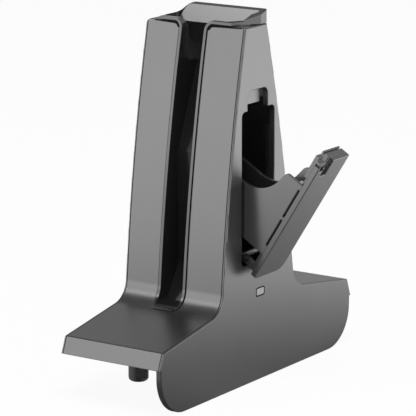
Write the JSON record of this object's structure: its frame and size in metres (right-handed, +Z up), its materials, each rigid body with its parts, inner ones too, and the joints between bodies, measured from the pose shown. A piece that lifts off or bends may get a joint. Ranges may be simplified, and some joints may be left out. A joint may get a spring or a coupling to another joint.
{
  "type": "headset charging cradle",
  "caption": "Slim tower cradle that docks on a base unit: open cup and front boom slot for a wireless headset, and a tilt-out side door with a spare-battery bin.",
  "frame": {"origin": "on the dock plug's axis at the seat plane, where the lips' lower edges lie", "axes": "+X to the side with the battery door, +Y to the rear, +Z up"},
  "size_m": [0.0642, 0.1083, 0.1157],
  "materials": {
    "charcoal_shell": "satin",
    "black_gloss": "polished",
    "black_matte": "fine texture",
    "light_grey": "satin",
    "pack_grey": "matt sleeve",
    "clear_pipe": "clear",
    "lamp": "clear",
    "board": "solder mask",
    "brass": "plated",
    "steel": "plain"
  },
  "bodies": {
    "cradle": {"front_cover": "charcoal_shell", "rear_cover": "charcoal_shell", "side_cover_right": "charcoal_shell", "side_cover_left": "charcoal_shell", "cup_liner": "black_gloss", "base_plate": "black_matte", "base_screws": "steel", "dock_plug": "black_matte", "plug_pins": "brass", "plug_retainer": "black_matte", "bay_frame": "black_matte", "hinge_pins": "steel", "strike_plate": "light_grey", "indicator_led": "lamp", "light_pipe": "clear_pipe", "main_board": "board", "board_screws": "steel", "bay_contacts": "brass", "contact_block": "black_matte", "contact_barrels": "brass"},
    "door": {"door_panel": "charcoal_shell", "door_frame": "charcoal_shell", "battery_carrier": "black_gloss", "carrier_pads": "brass", "battery_contacts": "brass"},
    "latch": {"door_latch": "charcoal_shell"},
    "battery": {"spare_battery": "pack_grey"},
    "pin_a": {"contact_pin_a": "brass"},
    "pin_b": {"contact_pin_b": "brass"}
  },
  "joints": [
    {"name": "door_hinge", "type": "hinge", "parent": "cradle", "child": "door", "pos_m": [0.0122, 0.0395, 0.0148], "axis": [0, 1, 0], "range_deg": [-31.9, 0]},
    {"name": "latch_slide", "type": "slide", "parent": "door", "child": "latch", "axis": [0.5284, 0, 0.849], "range_m": [0, 0.0012]},
    {"name": "battery_lift", "type": "slide", "parent": "door", "child": "battery", "axis": [0.5284, 0, 0.849], "range_m": [0, 0.0064]},
    {"name": "pin_a_press", "type": "slide", "parent": "cradle", "child": "pin_a", "axis": [0, 0, 1], "range_m": [-0.001, 0], "stiffness_N_per_m": 300, "springref_m": 0.0005},
    {"name": "pin_b_press", "type": "slide", "parent": "cradle", "child": "pin_b", "axis": [0, 0, 1], "range_m": [-0.001, 0], "stiffness_N_per_m": 300, "springref_m": 0.0005}
  ]
}
